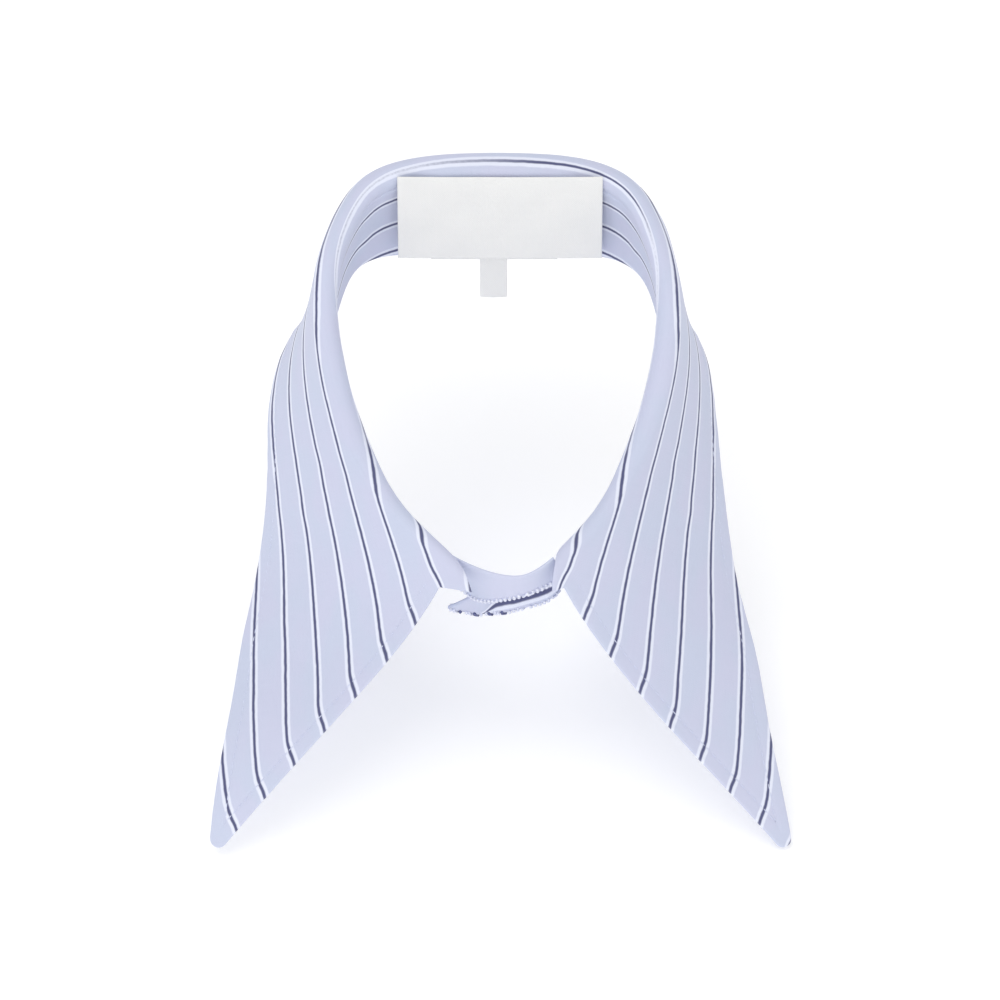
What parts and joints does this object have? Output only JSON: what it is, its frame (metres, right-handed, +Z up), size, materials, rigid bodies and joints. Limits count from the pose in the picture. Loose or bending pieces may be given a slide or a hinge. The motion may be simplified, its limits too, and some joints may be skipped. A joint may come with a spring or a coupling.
{
  "type": "detachable shirt collar",
  "caption": "Detachable turn-down shirt collar in pinstriped cotton, shaped as worn round a neck, with long pointed wings and a lapped front stand.",
  "frame": {"origin": "middle of the neck opening, on the wearer's centre line, where the neck that holds the collar up passes through it", "axes": "+Z up, -Y to the wearer's front, -X to the wearer's right"},
  "size_m": [0.1964, 0.2081, 0.1462],
  "materials": {
    "shirting": "plain-weave cotton with a fine navy pinstripe edged in white",
    "tape": "white woven tape, bare"
  },
  "bodies": {
    "root": {"collar_leaf": "shirting", "collar_stand": "shirting", "label": "tape", "label_strip": "tape", "label_tab": "tape"}
  },
  "joints": []
}
